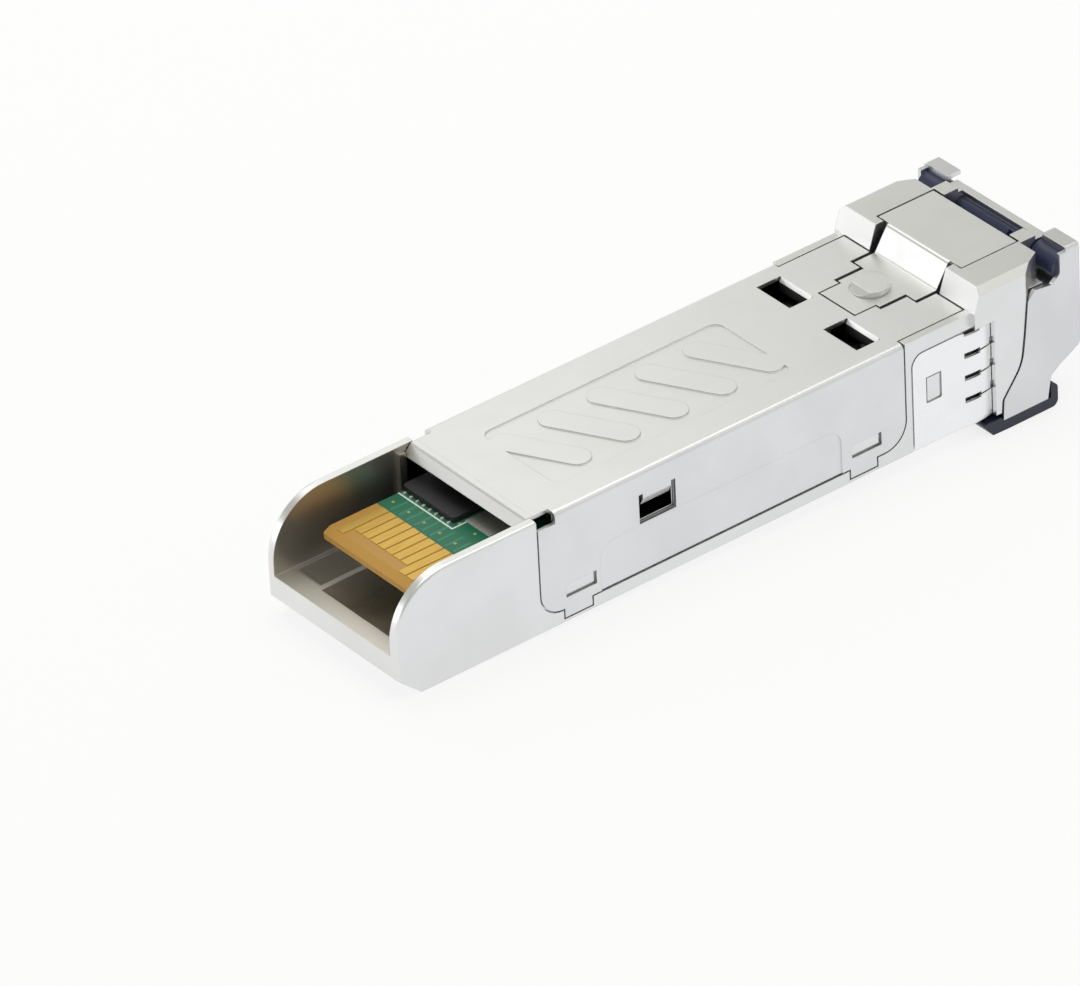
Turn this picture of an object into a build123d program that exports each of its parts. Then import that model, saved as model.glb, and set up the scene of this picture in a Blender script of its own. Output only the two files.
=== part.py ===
from build123d import *
import math
import os

# A pluggable optical transceiver module, lying on its in-use top face, so that the latch side is up.
# All sizes are millimetres. While it is built, x runs from the electrical end (0) to the optical
# port, y is across the module and z is the height above the face that it lies on.
# Each finished piece is then shifted, so that the origin is under the middle of the bounding box.

# Driving dimensions of the envelope
module_length = 56.5
body_width = 13.4
body_height = 8.5
nose_width = 14.2
nose_height = 10.25
nose_length = 8.9
stop_top_setback = 0.6
nose_setback = 0.5

# Die-cast base
cheek_wall = 0.7
cheek_radius = 4.3
cheek_edge_round = 0.22
lead_in_length = 1.8
lead_in_height = 1.6
rear_floor_top = 3.25
floor_thickness = 1.0
rear_rim = 1.3
pocket_rib = 0.45
rib_y = 2.98
pocket_wall = 1.05
side_wall = 0.6
board_ledge = 0.75
nose_bevel = 0.45
nose_taper_half = 6.05
chin_setback = 0.3
tunnel_wall = 0.62
window_pocket_gap = 0.1

# Sheet cover
sheet = 0.3
cover_rear = 11.35
flange_rear = 11.65
flange_front_setback = 5.7
flange_corner = 1.9
flange_bottom = 1.0
foot_drop = 0.7
foot_length = 2.2
rear_foot_x = 13.5
front_foot_setback = 10.4
cover_top_half = 6.0
lip_drop = 0.75
lip_lean = 0.62
lip_side_gap = 0.75
sheet_gap = 0.06
hem_gap = 0.12
relief_length = 1.4
relief_depth = 6.6
bend_radius = 0.42

# Shallow panel with slanted stiffening beads
panel_x0 = 15.2
panel_x1 = 34.8
panel_y0 = -4.2
panel_y1 = 3.7
panel_depth = 0.1
panel_corner = 0.8
bead_count = 5
bead_pitch = 4.0
bead_width = 1.9
bead_length = 7.0
bead_slant = 61.0

# Openings in the cover
latch_window_setback = 6.3
latch_window_length = 2.0
latch_window_y0 = 1.7
latch_window_y1 = 5.1
tab_reach = 0.45
tab_drop = 0.75
tab_inset = 0.12
side_tab_drop = 0.95
side_tab_slit = 0.35
side_tab_in = 0.3
side_window_x0 = 19.8
side_window_x1 = 22.8
side_window_z0 = 4.6
side_window_z1 = 6.8
snap_length = 2.5
snap_height = 1.0
snap_rear_x = 14.9
snap_front_setback = 9.0
snap_z = 2.25
snap_proud = 0.2
side_recess_x0 = 16.5
side_recess_x1 = 36.5
side_recess_top = 4.5
side_recess_depth = 0.09

# Contact spring collar
collar_length = 6.6
collar_top = 7.25
collar_sheet = 0.2
collar_gap = 0.06
collar_reach = 1.6
collar_corner = 0.9
tip_gap = 0.04
finger_hook = 0.5
finger_hook_width = 0.12
finger_length = 2.3
finger_slot_height = 0.42
finger_pitch = 1.72
finger_first_z = 2.05
finger_count = 4
finger_bulge = 0.16
collar_window_setback = 2.6
collar_window_length = 1.3
collar_window_z0 = 3.2
collar_window_z1 = 5.2
floor_finger_count = 6

# Latch rocker
rocker_tail_setback = 5.65
rocker_tail_half = 1.75
rocker_neck_half = 2.1
rocker_neck_setback = 4.0
rocker_shoulder_setback = 1.65
rocker_shoulder_half = 3.1
rocker_plate_half = 4.18
rocker_plate_offset = 1.4
ramp_length = 1.2
rocker_front_gap = 1.65
rocker_sheet = 0.3
rocker_gap = 0.14
tongue_slot = 0.3
ramp_slot = 0.45
rocker_pivot_offset = 2.2
rocker_pivot_z = 8.75
rocker_pin_radius = 0.45
rocker_pin_clearance = 0.05
rocker_ear = 0.5
boss_setback = 2.85
boss_radius = 1.3
boss_height = 0.45
boss_front_offset = 1.25
boss_groove = 0.13
boss_groove_depth = 0.08

# Bail and its cam shaft
bail_pivot_setback = 1.1
bail_pivot_z = 8.85
shaft_radius = 0.6
shaft_clearance = 0.05
hub_radius = 1.0
hub_inner_y = 4.6
cam_radius = 1.2
cam_half = 2.3
cam_angle = 145.0
cam_spread = 44.0
bail_sheet = 0.3
bail_rest_gap = 0.15
bail_stand_off = 0.05
bail_bottom = -0.6
bail_curve = 3.0
bail_heel_curve = 0.6
cap_inner_y = 4.75
cap_top = 10.35
cap_length = 1.1
cap_sweep_gap = 0.18
cap_lip = 0.5
grip_drop = 0.8
grip_heel = 7.4
grip_setback = 2.05
grip_rise = 1.0
grip_front_thickness = 0.6
bearing_inner_y = 3.3
strip_top = 9.95
strip_bottom = 9.6

# Duplex optical receptacle and optics
port_pitch = 6.25
port_size = 4.7
optical_z = 4.9
receptacle_setback = 0.4
receptacle_tail = 3.3
receptacle_roof = 0.33
port_back_tail = 0.3
receptacle_back_wall = 0.8
latch_channel_width = 3.0
latch_channel_height = 1.55
barrel_nose_radius = 1.475
barrel_neck_radius = 1.8
barrel_flange_radius = 2.1
barrel_bore_radius = 0.82
barrel_lip_radius = 0.7
sleeve_radius = 0.8
ferrule_radius = 0.625
sleeve_length = 6.2
sleeve_slit = 0.15
holder_thickness = 0.9
can_length = 3.6
barrel_tail = 3.1
barrel_nose_length = 7.8
barrel_lead_in = 0.4
holder_setback = 0.9
transmit_can_radius = 2.6
receive_can_radius = 2.35
can_flange_extra = 0.2
lead_radius = 0.18
lead_length = 1.1
lead_spread = 0.9
flex_thickness = 0.15
flex_width = 3.2

# Circuit board
board_rear = 3.0
board_top = 6.25
board_thickness = 1.0
tongue_width = 9.2
board_width = 10.6
board_step_x = 12.2
board_front_setback = 13.0
board_bevel = 0.3
board_corner = 0.15
pad_pitch = 0.8
pad_width = 0.66
pad_thickness = 0.04
pad_front = 7.35
pad_count = 10
short_pad_rear = 4.3
long_pad_rear = 3.5
ground_pad_x0 = 10.3
ground_pad_x1 = 12.9
ground_pad_y0 = -3.3
ground_pad_y1 = -0.8

# Components on the board
controller_offset = 7.0
controller_size = 5.0
controller_height = 0.85
thermal_pad_size = 4.4
driver_setback = 5.6
driver_y = 2.9
driver_size = 3.0
driver_height = 0.8
memory_x = 25.0
memory_length = 3.0
memory_width = 2.0
memory_height = 0.75
capacitor_length = 1.0
capacitor_width = 0.5
capacitor_columns = (16.0, 17.6)
capacitor_rows = (-4.2, -3.0, 3.0, 4.2)
capacitor_offset = 3.0
inductor_length = 1.6
inductor_width = 0.8
inductor_height = 0.9
inductor_places = ((14.2, -3.4), (14.2, 3.4), (19.0, -4.2), (19.0, 4.2))

# Places that follow from the sizes above
half_width = body_width / 2
nose_half = nose_width / 2
stop_x = module_length - nose_length
nose_front = module_length - nose_setback
bail_front = module_length
bail_outer = nose_half + bail_stand_off
bail_pivot_x = module_length - bail_pivot_setback
cap_rear = bail_front - cap_length
grip_rear = bail_pivot_x - grip_heel
grip_front = bail_front - grip_setback
receptacle_front = nose_front - receptacle_setback
receptacle_rear = stop_x - receptacle_tail
port_back = stop_x - port_back_tail
can_front = receptacle_rear - barrel_tail
barrel_end = receptacle_rear + barrel_nose_length
collar_tip = stop_x + collar_reach
collar_rear = collar_tip - collar_length
finger_slot_x0 = collar_tip - finger_length
rocker_plate_x = stop_x + rocker_plate_offset
ramp_top_x = stop_x + ramp_length
rocker_front = bail_pivot_x - rocker_front_gap
rocker_pivot_x = stop_x + rocker_pivot_offset
cover_seat = body_height - sheet
wall_outer = half_width - sheet - sheet_gap
wall_inner = wall_outer - side_wall
board_bottom = board_top - board_thickness
port_y = port_pitch / 2
grip_bottom = bail_bottom - grip_drop
collar_half = half_width - collar_sheet - collar_gap
flange_front = stop_x - flange_front_setback
front_foot_x = stop_x - front_foot_setback
latch_window_x1 = stop_x - latch_window_setback
latch_window_x0 = latch_window_x1 - latch_window_length
snap_front_x = stop_x - snap_front_setback
collar_window_x1 = stop_x - collar_window_setback
collar_window_x0 = collar_window_x1 - collar_window_length
rocker_rear = stop_x - rocker_tail_setback
rocker_neck_x = stop_x - rocker_neck_setback
rocker_shoulder_x = stop_x - rocker_shoulder_setback
boss_x = stop_x - boss_setback
boss_front = boss_x + boss_front_offset
board_front = stop_x - board_front_setback
driver_x = board_front - driver_setback
controller_x = driver_x - controller_offset


def block(x0, x1, y0, y1, z0, z1):
    """A box between two opposite corners."""
    size = Box(abs(x1 - x0), abs(y1 - y0), abs(z1 - z0))
    return Pos((x0 + x1) / 2, (y0 + y1) / 2, (z0 + z1) / 2) * size


def bar(x0, x1, half, z0, z1):
    """A box that is centred across the module."""
    return block(x0, x1, -half, half, z0, z1)


def both_sides(x0, x1, y0, y1, z0, z1):
    """A box and its mirror image across the module."""
    return block(x0, x1, y0, y1, z0, z1) + block(x0, x1, -y1, -y0, z0, z1)


def cylinder_x(x0, x1, y, z, radius):
    """A round bar along the module."""
    return Pos((x0 + x1) / 2, y, z) * Rot(0, 90, 0) * Cylinder(radius, x1 - x0)


def cylinder_y(y0, y1, x, z, radius):
    """A round bar across the module."""
    return Pos(x, (y0 + y1) / 2, z) * Rot(90, 0, 0) * Cylinder(radius, y1 - y0)


def side_profile(points, radii, y0, y1):
    """A side view outline of (x, z) points with rounded corners, carried from y0 to y1."""
    corners = [(x, y0, z) for x, z in points]
    outline = FilletPolyline(*corners, radius=radii, close=True)
    return extrude(make_face(outline), amount=y1 - y0, dir=(0, 1, 0))


def plan_profile(points, radii, z0, z1):
    """A plan view outline of (x, y) points with rounded corners, carried from z0 to z1."""
    corners = [(x, y, z0) for x, y in points]
    outline = FilletPolyline(*corners, radius=radii, close=True)
    return extrude(make_face(outline), amount=z1 - z0, dir=(0, 0, 1))


def mirrored(piece):
    """The piece and its mirror image across the module."""
    return piece + mirror(piece, about=Plane.XZ)


def flange_outline(grow):
    """Side view outline of the cover's flange, grown by a gap; feet reach down at two places."""
    left = flange_rear - grow
    right = flange_front + grow
    low = flange_bottom - grow
    foot = low - foot_drop
    top = body_height
    points = [
        (left, top),
        (left, low),
        (rear_foot_x - grow, low),
        (rear_foot_x - grow, foot),
        (rear_foot_x + foot_length + grow, foot),
        (rear_foot_x + foot_length + grow, low),
        (front_foot_x - grow, low),
        (front_foot_x - grow, foot),
        (front_foot_x + foot_length + grow, foot),
        (front_foot_x + foot_length + grow, low),
        (right, low),
        (right, top),
    ]
    corner = flange_corner + grow
    radii = [0, corner * 0.9, 0, 0, 0, 0, 0, 0, 0, 0, corner * 0.95, 0]
    return points, radii


def cover_flanges(inner_y, outer_y, grow):
    """Both flanges as solids between two distances from the middle plane."""
    points, radii = flange_outline(grow)
    return mirrored(side_profile(points, radii, -outer_y, -inner_y))


def collar_outline(grow):
    """Side view outline of the collar's side panel, with a rounded upper rear corner."""
    points = [
        (collar_rear - grow, 0),
        (collar_rear - grow, collar_top + grow),
        (collar_tip + grow, collar_top + grow),
        (collar_tip + grow, 0),
    ]
    return points, [0, collar_corner + grow, 0.15, 0]


def bail_side_points(grow):
    """Side view outline of the bail's side plate; grow opens the matching recess in the nose."""
    rear = [
        (bail_pivot_x - 0.55, cap_top - bail_sheet),
        (bail_pivot_x - 0.55, bail_pivot_z - 0.25),
        (bail_pivot_x - 1.25, bail_pivot_z - 0.8),
        (bail_pivot_x - 2.7 - grow, bail_pivot_z - 0.6),
        (bail_pivot_x - 3.3 - grow, bail_pivot_z - 1.2),
        (bail_pivot_x - 3.55 - grow, bail_pivot_z - 3.6),
        (bail_pivot_x - 3.85 - grow, bail_pivot_z - 5.8),
        (bail_pivot_x - 5.5 - grow, bail_pivot_z - 7.9),
        (bail_pivot_x - 5.6 - grow, bail_bottom),
    ]
    front = [
        (bail_front - 2.9, bail_bottom),
        (bail_front - 2.6, 1.1),
        (bail_front - 1.7, 1.7),
        (bail_front, 2.6),
        (bail_front, cap_top - bail_sheet),
    ]
    return rear, front


def chin_room(setback):
    """Space under and in front of the nose that the lower front edge of the bail's plates marks out."""
    front = bail_side_points(0)[1]
    points = [(x - setback, z) for x, z in front[:4]]
    points += [(module_length + 1, front[3][1]), (module_length + 1, bail_bottom)]
    return side_profile(points, 0, -nose_half - 1, nose_half + 1)


def base_housing():
    """Die-cast base: cheeks, pocketed floor, side walls and the nose block."""
    side = [
        (0, lead_in_height),
        (0, body_height),
        (flange_rear - hem_gap, body_height),
        (flange_rear - hem_gap, cover_seat),
        (stop_x, cover_seat),
        (stop_x, 0),
        (lead_in_length, 0),
    ]
    base = side_profile(side, [0, cheek_radius, 0, 0, 0, 0, 0], -half_width, half_width)
    cheek_edges = base.edges().filter_by(GeomType.CIRCLE).filter_by_position(Axis.X, 0, cheek_radius)
    cheek_edges = cheek_edges.filter_by(lambda e: e.radius > cheek_radius - 0.01)
    base = fillet(cheek_edges, cheek_edge_round)

    # Side rims that stand up to the cover's face in front of the flanges
    rim_inner = cover_top_half + hem_gap
    base += both_sides(flange_front + hem_gap, stop_x, rim_inner, half_width, cover_seat, body_height)

    # Nose block with the positive stop, bevelled along its upper and lower edges
    nose_side = [
        (stop_x, 0),
        (stop_x, body_height),
        (stop_x + stop_top_setback, nose_height),
        (nose_front, nose_height),
        (nose_front, 0),
    ]
    nose = side_profile(nose_side, 0, -nose_half, nose_half)
    long_edges = nose.edges().filter_by(Axis.X)
    bevels = long_edges.filter_by_position(Axis.Z, nose_height - 0.01, nose_height + 0.01)
    nose = chamfer(bevels, nose_bevel)
    base += nose

    # Rear bay between the cheeks, and the pockets in its floor
    bay_half = half_width - cheek_wall
    pocket_half = half_width - pocket_wall
    base -= bar(-1, flange_rear, bay_half, rear_floor_top, body_height + 1)
    pocket_top = rear_floor_top + 1
    rib_low = rib_y - pocket_rib / 2
    rib_high = rib_y + pocket_rib / 2
    base -= block(rear_rim, flange_rear, -pocket_half, rib_low, floor_thickness, pocket_top)
    base -= block(rear_rim + 0.3, flange_rear, rib_high, pocket_half, floor_thickness, pocket_top)

    # Board bay under the cover, with ledges, then the deeper optics bay
    optics_x = board_front + 0.6
    base -= bar(flange_rear - 1.0, receptacle_rear, wall_inner, board_bottom, body_height + 1)
    base -= bar(flange_rear - 1.0, optics_x, wall_inner - board_ledge, floor_thickness, board_bottom + 1)
    base -= bar(optics_x, receptacle_rear, wall_inner, floor_thickness, body_height + 1)

    # Tunnel for the optical receptacle, and the latch bay above it
    tunnel_half = collar_half - collar_sheet - 0.16
    tunnel_top = optical_z + port_size / 2 + receptacle_roof + 0.05
    base -= bar(receptacle_rear - 0.5, nose_front + 1, tunnel_half, tunnel_wall, tunnel_top)
    base -= bar(receptacle_rear - 0.5, stop_x, tunnel_half, tunnel_top - 0.1, body_height + 1)
    plate_rear = rocker_plate_x - rocker_gap
    slot_half = rocker_shoulder_half + ramp_slot
    base -= bar(stop_x - 0.5, plate_rear, slot_half, tunnel_top - 0.1, nose_height + 1)
    bay_front = rocker_front + 0.12
    plate_half = rocker_plate_half + rocker_gap
    base -= bar(plate_rear, bay_front, plate_half, tunnel_top - 0.1, nose_height + 1)

    # Cam bay open to the top and front, with the strip left across it
    shaft_room = shaft_radius + shaft_clearance
    bay = bar(bay_front - 0.1, nose_front + 1, bearing_inner_y, tunnel_top - 0.1, nose_height + 1)
    bay -= bar(bail_pivot_x, nose_front, bearing_inner_y, strip_bottom, strip_top)
    base -= bay
    base -= bar(bail_pivot_x - 0.35, nose_front + 1, nose_half, strip_top, nose_height + 1)

    # Room for the hubs at both corners, and the open-fronted bearings
    corner_x = bail_pivot_x - (cap_top - bail_pivot_z) - cap_sweep_gap
    hub_floor = bail_pivot_z - hub_radius - 0.15
    base -= both_sides(corner_x, nose_front + 1, hub_inner_y - 0.1, nose_half, hub_floor, nose_height + 1)
    base -= cylinder_y(-hub_inner_y, hub_inner_y, bail_pivot_x, bail_pivot_z, shaft_room)
    snap = shaft_room * 0.85
    base -= bar(bail_pivot_x, nose_front + 1, hub_inner_y, bail_pivot_z - snap, bail_pivot_z + snap)

    # Recesses for the flanges, the collar and the bail's side plates
    base -= cover_flanges(wall_outer, half_width + 1, hem_gap)
    collar_points, collar_radii = collar_outline(hem_gap)
    collar_room = side_profile(collar_points, collar_radii, -half_width - 1, -collar_half)
    collar_room -= bar(collar_tip + tip_gap, collar_tip + 1, nose_half + 1, -1, nose_height)
    base -= mirrored(collar_room)
    base -= bar(collar_rear - hem_gap, collar_tip + tip_gap, half_width + 1, -1, collar_sheet + collar_gap)
    rear = bail_side_points(bail_rest_gap)[0]
    recess = [(nose_front + 1, rear[3][1])] + rear[3:] + [(nose_front + 1, bail_bottom)]
    recess_radii = [0, 0, 0.3, 0, bail_curve, bail_heel_curve, 0, 0]
    recess_floor = bail_outer - bail_sheet - bail_rest_gap
    base -= mirrored(side_profile(recess, recess_radii, -nose_half - 1, -recess_floor))

    # Front corners that taper in from the recess, and the chin cut back behind the side plates
    taper = [
        (rear[4][0], -nose_half - 1),
        (rear[4][0], -nose_half),
        (rear[3][0], -recess_floor),
        (corner_x, -nose_taper_half),
        (nose_front + 1, -nose_taper_half),
        (nose_front + 1, -nose_half - 1),
    ]
    shoulder = [(rear[4][0], nose_height + 1), rear[4], rear[3]]
    shoulder += [(nose_front + 1, rear[3][1]), (nose_front + 1, nose_height + 1)]
    shoulder_block = side_profile(shoulder, 0, -nose_half - 1, 0)
    base -= mirrored(plan_profile(taper, 0, 0, nose_height + 1) & shoulder_block)
    base -= chin_room(chin_setback)

    # Deep corner holes under the cover's relief notches
    relief_front = flange_rear + relief_length
    relief_side = half_width - lip_side_gap - 0.3
    relief_top = body_height + 1
    relief_rear = flange_rear + 0.1
    base -= both_sides(relief_rear, relief_front, relief_side, half_width + 1, relief_depth, relief_top)

    # Holes behind the side windows
    base -= both_sides(
        side_window_x0 + window_pocket_gap,
        side_window_x1 - window_pocket_gap,
        wall_inner - 1,
        half_width,
        side_window_z0 + window_pocket_gap,
        side_window_z1 - window_pocket_gap,
    )

    # Snap lugs that fill the cover's and the collar's small windows
    for lug_x in (snap_rear_x, snap_front_x):
        x0 = lug_x - snap_length / 2 + hem_gap
        x1 = lug_x + snap_length / 2 - hem_gap
        z0 = snap_z - snap_height / 2 + hem_gap
        z1 = snap_z + snap_height / 2 - hem_gap
        base += both_sides(x0, x1, wall_outer - 0.1, wall_outer + snap_proud, z0, z1)
    base += both_sides(
        collar_window_x0 + hem_gap,
        collar_window_x1 - hem_gap,
        collar_half - 0.1,
        collar_half + collar_sheet,
        collar_window_z0 + hem_gap,
        collar_window_z1 - hem_gap,
    )

    # Posts inside the cheeks that stop the board, and bores for the rocker's pin
    post_front = cover_rear - lip_lean - 0.05
    post_rear = post_front - 0.5
    post_top = cover_seat - 0.1
    base += both_sides(post_rear, post_front, bay_half - 0.3, bay_half + 0.1, rear_floor_top, post_top)
    pin_reach = rocker_plate_half + rocker_gap + 1.0
    base -= cylinder_y(-pin_reach, pin_reach, rocker_pivot_x, rocker_pivot_z, rocker_pin_radius)
    return base


def sheet_cover():
    """Folded sheet cover: top plate, side flanges, rolled rear lip, windows and stiffening beads."""
    shell = bar(cover_rear, stop_x - hem_gap, half_width, 0, body_height)
    long_edges = shell.edges().filter_by(Axis.X)
    bends = long_edges.filter_by_position(Axis.Z, body_height - 0.01, body_height + 0.01)
    shell = fillet(bends, bend_radius)
    inner = bar(cover_rear - 1, stop_x + 1, half_width - sheet, -1, body_height - sheet)
    long_edges = inner.edges().filter_by(Axis.X)
    inner_bends = long_edges.filter_by_position(Axis.Z, cover_seat - 0.01, cover_seat + 0.01)
    inner = fillet(inner_bends, sheet_gap * 0.8)
    shell -= inner

    # Sides keep only the flange outline, and the top narrows in front of the flanges
    points, radii = flange_outline(0)
    keep = side_profile(points, radii, -half_width - 1, half_width + 1)
    keep += bar(cover_rear, stop_x, half_width - sheet - 0.01, cover_seat - 0.2, body_height + 1)
    shell = shell & keep
    top_limit = body_height + 1
    shell -= both_sides(flange_front, stop_x + 1, cover_top_half, half_width + 1, cover_seat - 1, top_limit)

    # Rolled rear lip with relief notches at both corners
    lip_half = half_width - lip_side_gap
    lip_bottom = body_height - lip_drop
    lip_side = [
        (cover_rear - lip_lean, lip_bottom),
        (cover_rear, body_height),
        (cover_rear + sheet + 0.3, body_height),
        (cover_rear + sheet + 0.3, body_height - sheet),
        (cover_rear + sheet * 0.8, body_height - sheet),
        (cover_rear + sheet - lip_lean, lip_bottom),
    ]
    relief_floor = cover_seat - 0.5
    relief_front = flange_rear + relief_length
    shell -= both_sides(cover_rear - 1, relief_front, lip_half, half_width + 1, relief_floor, top_limit)
    shell -= both_sides(cover_rear - 1, flange_rear, lip_half, half_width + 1, -1, body_height + 1)
    shell += side_profile(lip_side, [0, bend_radius, 0, 0, 0, 0], -lip_half, lip_half)
    shell -= bar(cover_rear - 1, cover_rear + bend_radius, lip_half, body_height - 0.01, body_height + 1)
    shell = shell & block(cover_rear - 1, stop_x, -9, 9, -1, body_height + 1)

    # Shallow panel on the top, with raised slanted beads left standing in it
    corners = [(panel_x0, panel_y0), (panel_x1, panel_y0), (panel_x1, panel_y1), (panel_x0, panel_y1)]
    panel = plan_profile(corners, panel_corner, body_height - panel_depth, body_height + 1)
    middle_x = (panel_x0 + panel_x1) / 2
    middle_y = (panel_y0 + panel_y1) / 2
    for index in range(bead_count):
        bead_x = middle_x + bead_pitch * (index - (bead_count - 1) / 2)
        bead = SlotOverall(bead_length, bead_width, rotation=-bead_slant)
        panel -= extrude(Pos(bead_x, middle_y, body_height - panel_depth - 1) * bead, amount=3)
    shell -= panel

    # Windows beside the latch, each with a tab bent down at its front edge
    for side in (-1, 1):
        y0 = side * latch_window_y0
        y1 = side * latch_window_y1
        shell -= block(latch_window_x0, latch_window_x1, y0, y1, cover_seat - 1, body_height + 1)
        tab = [
            (latch_window_x1 + sheet, body_height),
            (latch_window_x1, body_height),
            (latch_window_x1 - tab_reach, body_height - tab_drop),
            (latch_window_x1 - tab_reach + sheet, body_height - tab_drop - 0.1),
            (latch_window_x1 + sheet, cover_seat),
        ]
        inset = tab_inset if side > 0 else -tab_inset
        shell += side_profile(tab, 0, min(y0 + inset, y1 - inset), max(y0 + inset, y1 - inset))

    # Side windows, small snap windows and the shallow side recess
    wide = half_width + 1
    shell -= both_sides(side_window_x0, side_window_x1, wall_outer, wide, side_window_z0, side_window_z1)
    tab_x0 = side_window_x0 + side_tab_slit
    tab_x1 = side_window_x1 - side_tab_slit
    tab_low = side_window_z1 - side_tab_drop
    inward = half_width - sheet - side_tab_in
    hinge_z = side_window_z1 - sheet
    for side in (-1, 1):
        flap = [
            (side * half_width, side_window_z1 - side_tab_slit),
            (side * (half_width - sheet), side_window_z1 - side_tab_slit),
            (side * inward, tab_low),
            (side * (inward + sheet), tab_low),
        ]
        outline = Polyline(*[(tab_x0, y, z) for y, z in flap], close=True)
        shell += extrude(make_face(outline), amount=tab_x1 - tab_x0, dir=(1, 0, 0))
    hinge_low = side_window_z1 - side_tab_slit - 0.01
    shell += both_sides(tab_x0, tab_x1, half_width - sheet, half_width, hinge_low, hinge_z + 1)
    for middle in (snap_rear_x, snap_front_x):
        x0 = middle - snap_length / 2
        x1 = middle + snap_length / 2
        shell -= both_sides(x0, x1, wall_outer, wide, snap_z - snap_height / 2, snap_z + snap_height / 2)
    recess = [
        (side_recess_x0, -1),
        (side_recess_x0, side_recess_top),
        (side_recess_x1, side_recess_top),
        (side_recess_x1, -1),
    ]
    recess_cut = side_profile(recess, [0, 1.2, 1.2, 0], -half_width - 1, -half_width + side_recess_depth)
    shell -= mirrored(recess_cut)

    # Cut-out round the latch rocker
    gap = rocker_gap
    half_points = [
        (rocker_rear - gap, rocker_tail_half + gap),
        (rocker_neck_x, rocker_tail_half + gap),
        (rocker_neck_x, rocker_neck_half + tongue_slot),
        (rocker_shoulder_x - gap, rocker_neck_half + tongue_slot),
        (rocker_shoulder_x - gap, rocker_shoulder_half + tongue_slot),
        (stop_x + 1, rocker_shoulder_half + tongue_slot),
    ]
    outline = half_points + [(x, -y) for x, y in reversed(half_points)]
    shell -= plan_profile(outline, 0, cover_seat - 1, body_height + 1)
    return shell


def emi_collar():
    """U-shaped spring collar: a floor and two side panels whose front ends are slit into fingers."""
    bulge_top = half_width + finger_bulge
    finger_middle = (finger_slot_x0 + collar_tip) / 2
    panel = None
    for side in (-1, 1):
        outer = Polyline((collar_rear, side * half_width), (finger_slot_x0 - 0.4, side * half_width))
        crest = ThreePointArc(
            (finger_slot_x0 - 0.4, side * half_width),
            (finger_middle, side * bulge_top),
            (collar_tip, side * (half_width - 0.02)),
        )
        inner_y = half_width - collar_sheet
        back = Polyline(
            (collar_tip, side * (half_width - 0.02)),
            (collar_tip, side * inner_y),
        )
        inner = ThreePointArc(
            (collar_tip, side * inner_y),
            (finger_middle, side * (bulge_top - collar_sheet)),
            (finger_slot_x0 - 0.4, side * inner_y),
        )
        close = Polyline(
            (finger_slot_x0 - 0.4, side * inner_y),
            (collar_rear, side * inner_y),
            (collar_rear, side * half_width),
        )
        wall = extrude(make_face(outer + crest + back + inner + close), amount=collar_top, dir=(0, 0, 1))
        panel = wall if panel is None else panel + wall
    points, radii = collar_outline(0)
    wide = half_width + 1
    panel = panel & side_profile(points, radii, -wide, wide)

    # Slots between the side fingers, each with a fine slit running on to the finger's tip
    for index in range(finger_count):
        z = finger_first_z + finger_pitch * index
        x1 = finger_slot_x0 + 1.3
        panel -= both_sides(
            finger_slot_x0, x1, inner_y - 1, wide, z - finger_slot_height / 2, z + finger_slot_height / 2
        )
        hook_x = collar_tip - finger_hook_width
        panel -= both_sides(x1 - 0.1, collar_tip + 1, inner_y - 1, wide, z - 0.06, z + 0.06)
        panel -= both_sides(hook_x, collar_tip + 1, inner_y - 1, wide, z - 0.06, z + finger_hook)
    panel -= both_sides(
        collar_window_x0, collar_window_x1, inner_y - 1, wide, collar_window_z0, collar_window_z1
    )

    # Floor of the collar and its fingers
    floor = bar(collar_rear, collar_tip, half_width - 0.02, 0, collar_sheet)
    slot_pitch = 2 * half_width / floor_finger_count
    for index in range(1, floor_finger_count):
        y = -half_width + slot_pitch * index
        floor -= block(finger_slot_x0, collar_tip + 1, y - 0.15, y + 0.15, -1, 1)
    return panel + floor


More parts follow.
